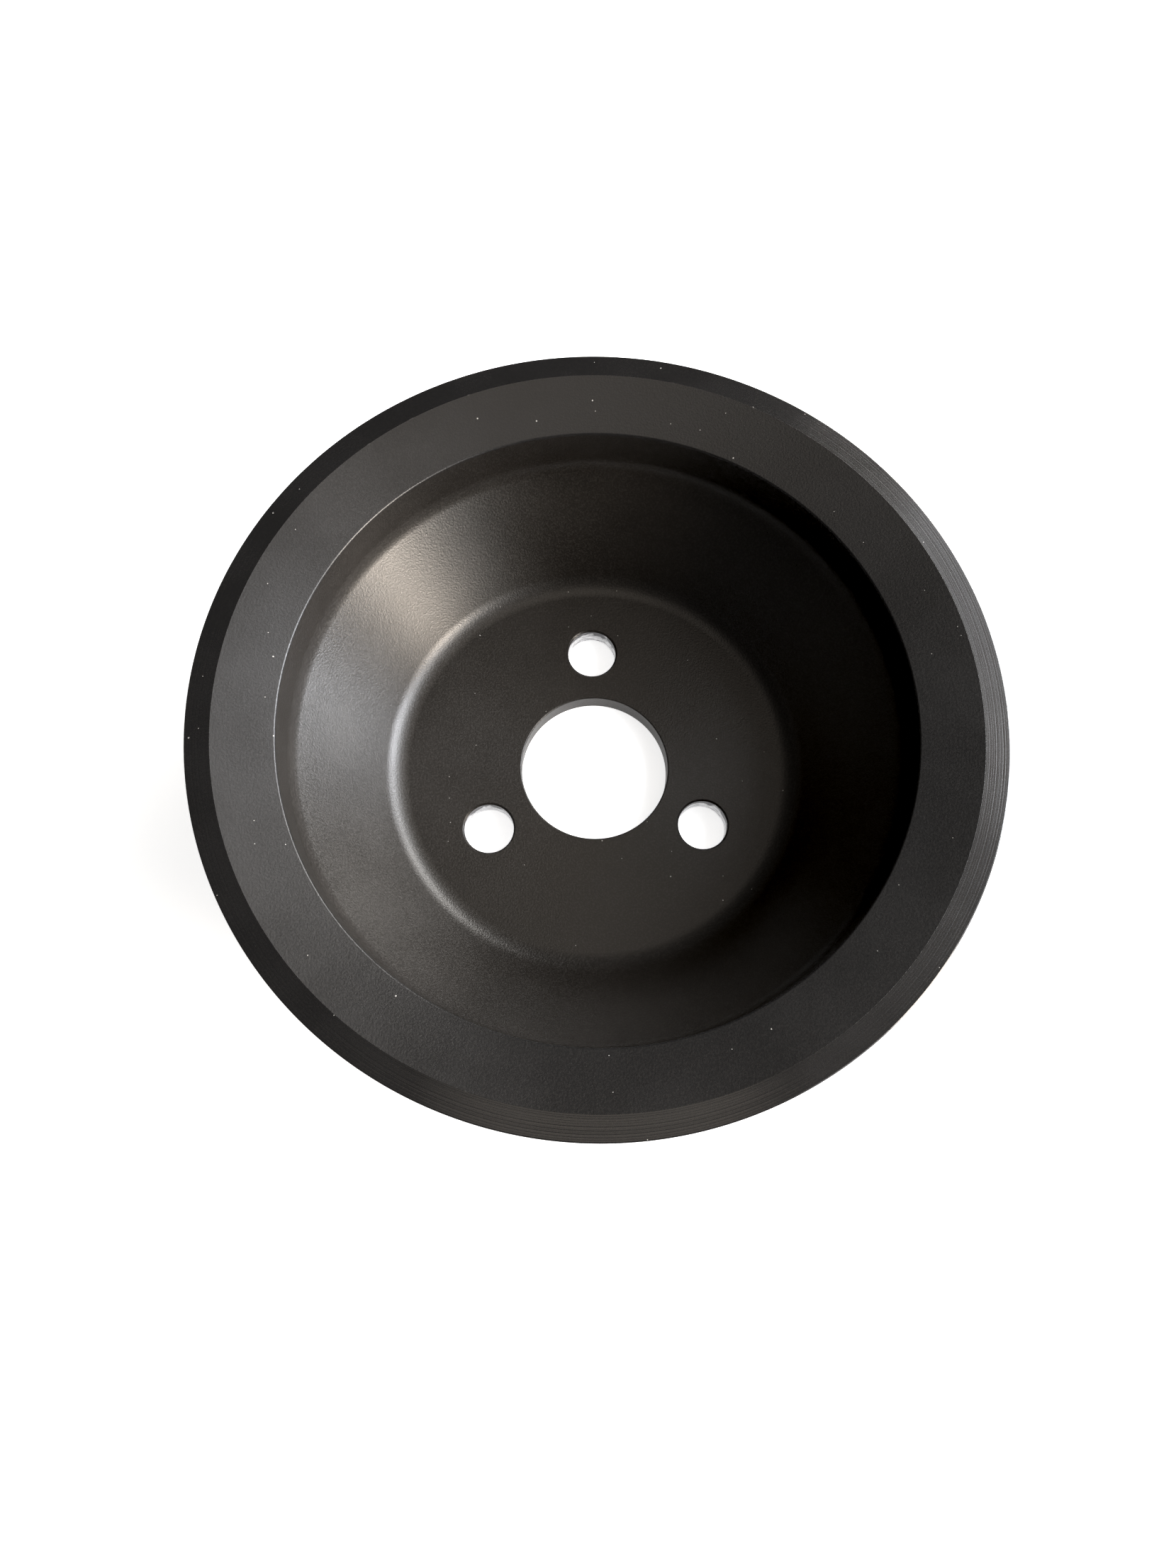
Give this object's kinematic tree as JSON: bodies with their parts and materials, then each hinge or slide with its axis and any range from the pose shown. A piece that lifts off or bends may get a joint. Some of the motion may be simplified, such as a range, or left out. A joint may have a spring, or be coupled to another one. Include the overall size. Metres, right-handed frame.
{
  "type": "dished winch drum end disc",
  "caption": "Dished, turned aluminium end disc for a line winch drum, black anodised, with a shaft bore and a ring of bolt holes in its flat floor.",
  "frame": {"origin": "centre of the bore at the flat back face of the hub, the lowest point of the part", "axes": "+Z along the shaft axis, out of the open mouth of the dish; +Y through the centre of one bolt hole; +X completes a right-handed frame"},
  "size_m": [0.145, 0.145, 0.04],
  "materials": {
    "black_anodised": "black hard-anodised, satin: fine turned lines on the rim, matte bead-blasted grain in the dish"
  },
  "bodies": {
    "root": {"dished_end_disc": "black_anodised"}
  },
  "joints": []
}
